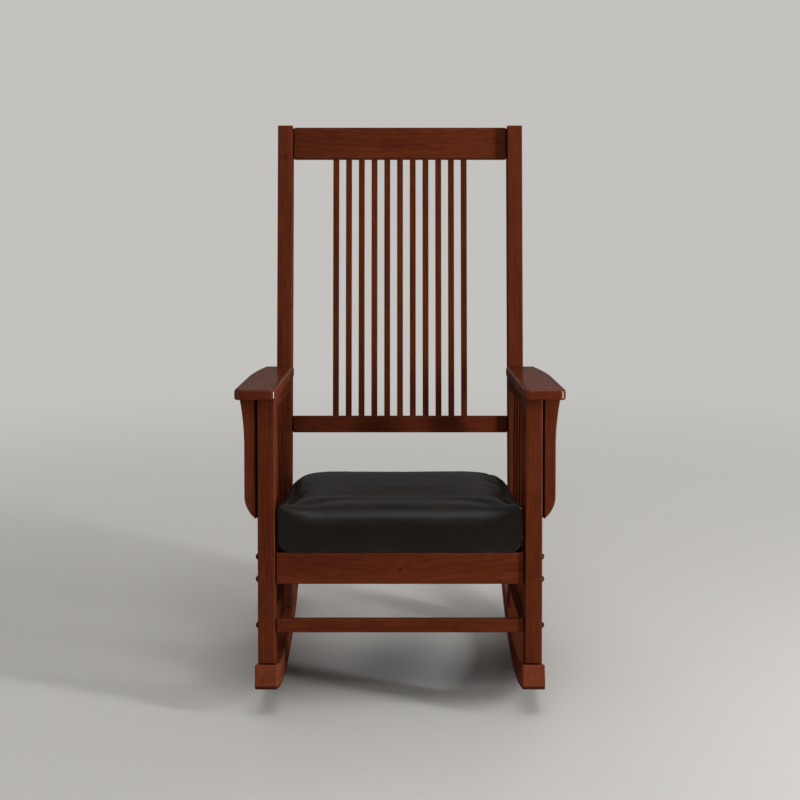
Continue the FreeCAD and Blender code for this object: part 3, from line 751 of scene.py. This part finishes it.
# the seam round the top panel, the corners it pulls down, the creases and a soft unevenness
def sewCushion(piece):
    seat = toSeat(readPoints(piece.data))
    upper = ramp(seat[:, 2], 0.045, 0.085)
    reach = cornerReach(seat)
    fore = bell(seat[:, 1] - cushion["front"], 0.14)
    wall = 1 - ramp(insetOf(seat), 0.012, 0.030)
    lean = sewing["lean"] * ramp(seat[:, 2], 0.045, 0.100) ** 2 * (1 - bell(reach, 0.09)) * wall
    seat -= outwardOf(seat) * lean[:, None]
    straightenSides(seat)
    drop = sewing["dip"] * bell(reach, sewing["dipReach"])
    drop += sewing["slowDip"] * bell(reach, sewing["slowReach"])
    seat[:, 2] -= drop * (1 - fore) * upper
    fillEdges(seat)
    rollFront(seat)
    ahead = (1 - ramp(seat[:, 1], 0.06, 0.11)) * ramp(seat[:, 2], 0.020, 0.035)
    flank = ramp(np.abs(seat[:, 0]), 0.175, 0.205) * ramp(seat[:, 2], 0.020, 0.035)
    smoothSkin(piece.data, seat, np.maximum(0.5 * ahead, 0.3 * flank) * (1 - bell(reach, 0.05)))
    writePoints(piece.data, fromSeat(seat))
    points, normals = readPoints(piece.data), readNormals(piece.data)
    seat = toSeat(points)
    facing = toSeat(normals + np.array(chair["seatFront"]))  # normals turned into seat axes
    top = ramp(facing[:, 2], 0.25, 0.6)
    front = ramp(-facing[:, 1], 0.4, 0.7)
    near = bell(reach, 0.10)
    share = fore * (1 - near)
    seamInset = sewing["inset"] + (sewing["frontInset"] - sewing["inset"]) * share
    seamWidth = sewing["width"] + (sewing["frontWidth"] - sewing["width"]) * share
    seam = sewing["depth"] * (0.3 + 0.7 * share) + sewing["cornerDepth"] * near * (0.2 + 0.3 * fore)
    depth = seam * bell(insetOf(seat) - seamInset, seamWidth) * upper
    depth += creaseDepth(seat[:, :2], topCreases) * top
    depth += creaseDepth(seat[:, ::2], frontCreases) * front
    swell = [noise.noise(Vector(point) / sewing["rippleSize"]) for point in points]
    depth += sewing["ripple"] * np.array(swell) * ramp(seat[:, 2], 0.02, 0.05)
    seat = toSeat(points - normals * depth[:, None])
    seat[:, 0] = np.clip(seat[:, 0], -cushion["sideRoom"], cushion["sideRoom"])
    writePoints(piece.data, fromSeat(seat))


def makeCushion():
    piece = startCushion()
    tightenBase(piece)
    swellCushion(piece)
    piece.modifiers.new("smooth", "SUBSURF").levels = 1
    piece.modifiers["smooth"].render_levels = 1
    bakeModifiers(piece)
    tightenBase(piece)
    sewCushion(piece)
    piece.data.materials.clear()
    piece.data.materials.append(blackLeather)
    piece.data.polygons.foreach_set("use_smooth", [True] * len(piece.data.polygons))
    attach(piece, "root")
    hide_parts("seat_cover", "seat_foam")
    print("cushion sewn,", len(piece.data.polygons), "faces")


makeCushion()

# black cloth under the seat, stapled along its edges
dustSheet = {
    "half": 0.186,
    "front": 0.034,
    "rear": 0.528,
    "rise": -0.0020,
    "sag": 0.0040,
    "steps": (24, 32),
    "thickness": 0.0006,
}
staples = {
    "inset": 0.006,
    "spacing": 0.029,
    "crown": 0.010,
    "leg": 0.004,
    "wire": (0.0013, 0.0006),
}


def makeDustSheet():
    columns, rows = dustSheet["steps"]
    across = np.linspace(-1, 1, columns + 1)
    along = np.linspace(-1, 1, rows + 1)
    u, v = [grid.ravel() for grid in np.meshgrid(across, along)]
    middle = (dustSheet["front"] + dustSheet["rear"]) / 2
    halfLength = (dustSheet["rear"] - dustSheet["front"]) / 2
    rise = dustSheet["rise"] - dustSheet["sag"] * (1 - u ** 2) * (1 - v ** 2)
    points = fromSeat(np.stack([u * dustSheet["half"], middle + v * halfLength, rise], 1))
    faces = []
    for row in range(rows):
        for column in range(columns):
            corner = row * (columns + 1) + column
            faces.append((corner, corner + columns + 1, corner + columns + 2, corner + 1))  # facing down
    mesh = bpy.data.meshes.new("dustSheet")
    mesh.from_pydata(points.tolist(), [], faces)
    piece = bpy.data.objects.new("dustSheet", mesh)
    bpy.context.scene.collection.objects.link(piece)
    mesh.polygons.foreach_set("use_smooth", [True] * len(faces))
    thick = piece.modifiers.new("thick", "SOLIDIFY")
    thick.thickness = dustSheet["thickness"]
    thick.offset = -1.0
    bakeModifiers(piece)
    piece.data.materials.clear()
    piece.data.materials.append(dustCloth)
    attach(piece, "root")
    print("dust sheet stretched")


# one bent wire, set along a rectangle at even steps
def makeStapleTree():
    tree = bpy.data.node_groups.new("stapleRow", "GeometryNodeTree")
    tree.interface.new_socket(name="Geometry", in_out="OUTPUT", socket_type="NodeSocketGeometry")
    for name, kind in (("Width", "Float"), ("Length", "Float"), ("Spacing", "Float"), ("Crown", "Float"),
                       ("Leg", "Float"), ("Place", "Vector"), ("Turn", "Vector"), ("Metal", "Material")):
        tree.interface.new_socket(name=name, in_out="INPUT", socket_type="NodeSocket" + kind)
    given = tree.nodes.new("NodeGroupInput").outputs
    half = maths(tree, "MULTIPLY", given["Crown"], 0.5)
    low = maths(tree, "MULTIPLY", given["Leg"], -0.33)
    spots = []
    for sign, height in ((-1, given["Leg"]), (-1, low), (1, low), (1, given["Leg"])):
        side = maths(tree, "MULTIPLY", half, float(sign))
        spots.append(addNode(tree, "ShaderNodeCombineXYZ", {0: side, 2: height}).outputs[0])
    bend = addNode(tree, "GeometryNodeCurvePrimitiveBezierSegment", {
        "Resolution": 8, "Start": spots[0], "Start Handle": spots[1],
        "End Handle": spots[2], "End": spots[3]})
    section = addNode(tree, "GeometryNodeCurvePrimitiveQuadrilateral", {
        "Width": staples["wire"][1], "Height": staples["wire"][0]})
    wire = addNode(tree, "GeometryNodeCurveToMesh", {
        "Curve": bend.outputs[0], "Profile Curve": section.outputs[0], "Fill Caps": True})
    edge = addNode(tree, "GeometryNodeCurvePrimitiveQuadrilateral", {
        "Width": given["Width"], "Height": given["Length"]})
    row = addNode(tree, "GeometryNodeCurveToPoints", {
        "Curve": edge.outputs[0], "Length": given["Spacing"]}, mode="LENGTH")
    heading = addNode(tree, "FunctionNodeAlignRotationToVector", {"Vector": row.outputs["Tangent"]}, axis="X")
    rows = addNode(tree, "GeometryNodeInstanceOnPoints", {
        "Points": row.outputs["Points"], "Instance": wire.outputs[0], "Rotation": heading.outputs[0]})
    moved = addNode(tree, "GeometryNodeTransform", {
        "Geometry": rows.outputs[0], "Translation": given["Place"], "Rotation": given["Turn"]})
    solid = addNode(tree, "GeometryNodeRealizeInstances", {"Geometry": moved.outputs[0]})
    dressed = addNode(tree, "GeometryNodeSetMaterial", {
        "Geometry": solid.outputs[0], "Material": given["Metal"]})
    tree.links.new(dressed.outputs[0], tree.nodes.new("NodeGroupOutput").inputs[0])
    return tree


def makeStaples():
    tree = makeStapleTree()
    mesh = bpy.data.meshes.new("seatStaples")
    piece = bpy.data.objects.new("seatStaples", mesh)
    bpy.context.scene.collection.objects.link(piece)
    row = piece.modifiers.new("row", "NODES")
    row.node_group = tree
    middle = (dustSheet["front"] + dustSheet["rear"]) / 2
    centre = fromSeat(np.array([[0.0, middle, dustSheet["rise"] - dustSheet["thickness"]]]))[0]
    values = {
        "Width": 2 * (dustSheet["half"] - staples["inset"]),
        "Length": dustSheet["rear"] - dustSheet["front"] - 2 * staples["inset"],
        "Spacing": staples["spacing"],
        "Crown": staples["crown"],
        "Leg": staples["leg"],
        "Place": tuple(centre),
        "Turn": (-math.radians(chair["seatSlope"]), 0.0, 0.0),
        "Metal": platedSteel,
    }
    for item in tree.interface.items_tree:
        if item.in_out == "INPUT":
            row[item.identifier] = values[item.name]
    bakeModifiers(piece)
    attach(piece, "root")
    print("staples set,", len(piece.data.polygons), "faces")


makeDustSheet()
makeStaples()

# plain pale floor, soft light and the camera
studio = {
    "floor": (0.52, 0.508, 0.49, 1),
    "floorReach": 600.0,
    "front": 0.08,
    "back": 0.32,
    "top": 0.60,
    "seen": (0.55, 0.538, 0.520, 1),
    "mirroredFront": 0.3,  # the room in front of the backdrop, as gloss shows it
}


# the rays that show the backdrop, straight from the camera, through glass or mirrored, and how
# bright it is to them: a mirrored ray finds it dimmer towards the front
def seenRays(tree, back, low, high):
    path = tree.nodes.new("ShaderNodeLightPath").outputs
    straight = maths(tree, "MAXIMUM", path["Is Camera Ray"], path["Is Transmission Ray"])
    mirrored = remap(tree, back, low, high, studio["mirroredFront"], 1.0)
    rays = maths(tree, "MAXIMUM", straight, path["Is Glossy Ray"])
    return rays, maths(tree, "MAXIMUM", straight, mirrored)


def makeFloor():
    mesh = bpy.data.meshes.new("floor")
    reach = studio["floorReach"]
    corners = [(-reach, -reach, 0), (reach, -reach, 0), (reach, reach, 0), (-reach, reach, 0)]
    mesh.from_pydata(corners, [], [(0, 1, 2, 3)])
    piece = bpy.data.objects.new("floor", mesh)
    bpy.context.scene.collection.objects.link(piece)
    material, tree, shader, place = newMaterial("paleFloor")
    mottle = noiseOf(tree, stretched(tree, place, (1.3, 1.3, 1.3)), 4.0, 0.6)
    pale = studio["floor"]
    dull = tuple(0.97 * value for value in pale[:3]) + (1,)
    link(tree, shader.inputs["Base Color"], mixColour(tree, mottle, pale, dull))
    shader.inputs["Roughness"].default_value = 0.9
    shader.inputs["Specular IOR Level"].default_value = 0.1
    split = axesOf(tree, place)
    away = lengthOf(tree, split[0], split[1])
    far = remap(tree, away, 0.7, 3.2, 0.0, 1.0, True)  # the backdrop takes over from the lit floor
    rays, level = seenRays(tree, split[1], -1.2, 0.4)
    backdrop = addNode(tree, "ShaderNodeEmission", {"Color": studio["seen"], "Strength": level}).outputs[0]
    both = addNode(tree, "ShaderNodeMixShader", {
        0: maths(tree, "MULTIPLY", far, rays), 1: shader.outputs[0], 2: backdrop})
    link(tree, tree.nodes["Material Output"].inputs["Surface"], both.outputs[0])
    mesh.materials.append(material)


def makeWorld():
    world = bpy.data.worlds.new("studio")
    bpy.context.scene.world = world
    world.use_nodes = True
    tree = world.node_tree
    sky = tree.nodes["Background"]
    way = tree.nodes.new("ShaderNodeTexCoord").outputs["Generated"]
    split = axesOf(tree, way)
    level = remap(tree, split[1], -0.75, 0.35, studio["front"], studio["back"], True)
    top = remap(tree, split[2], 0.45, 0.95, 0.0, studio["top"], True)
    link(tree, sky.inputs["Strength"], maths(tree, "MAXIMUM", level, top))
    sky.inputs["Color"].default_value = (1.0, 0.985, 0.96, 1)
    rays, level = seenRays(tree, split[1], -0.4, 0.3)
    seen = addNode(tree, "ShaderNodeBackground", {"Color": studio["seen"], "Strength": level})
    both = addNode(tree, "ShaderNodeMixShader", {0: rays, 1: sky.outputs[0], 2: seen.outputs[0]})
    link(tree, tree.nodes["World Output"].inputs["Surface"], both.outputs[0])


# place, what it points at, width and height, watts
lamps = {
    "keyRight": ((3.3, -1.65, 1.15), (0.0, -0.1, 0.95), (0.30, 2.0), 165),
    "fillLeft": ((-2.9, -2.6, 1.5), (0.0, 0.0, 0.5), (2.2, 1.8), 18),
    "overhead": ((0.3, -1.7, 3.4), (0.0, -0.1, 0.4), (1.8, 1.2), 31),
    "backSky": ((0.2, 2.6, 2.9), (0.0, 0.0, 0.5), (2.6, 1.6), 32),
}


def makeLamps():
    for name, (place, target, size, watts) in lamps.items():
        lamp = bpy.data.lights.new(name, "AREA")
        lamp.shape = "RECTANGLE"
        lamp.size, lamp.size_y = size
        lamp.energy = watts
        holder = bpy.data.objects.new(name, lamp)
        holder.location = place
        holder.rotation_euler = (Vector(target) - Vector(place)).to_track_quat("-Z", "Y").to_euler()
        bpy.context.scene.collection.objects.link(holder)


view = {
    "place": (0.0, -3.80, 1.370),
    "down": 11.863,
    "lens": 78.81,  # millimetres on a sensor 36 wide
}


def makeCamera():
    camera = bpy.data.cameras.new("view")
    camera.sensor_width = 36.0
    camera.lens = view["lens"]
    holder = bpy.data.objects.new("view", camera)
    holder.location = view["place"]
    holder.rotation_euler = (math.radians(90 - view["down"]), 0, 0)
    bpy.context.scene.collection.objects.link(holder)
    bpy.context.scene.camera = holder


makeFloor()
makeWorld()
makeLamps()
makeCamera()
bpy.context.scene.view_settings.view_transform = "Standard"
print("studio lit")
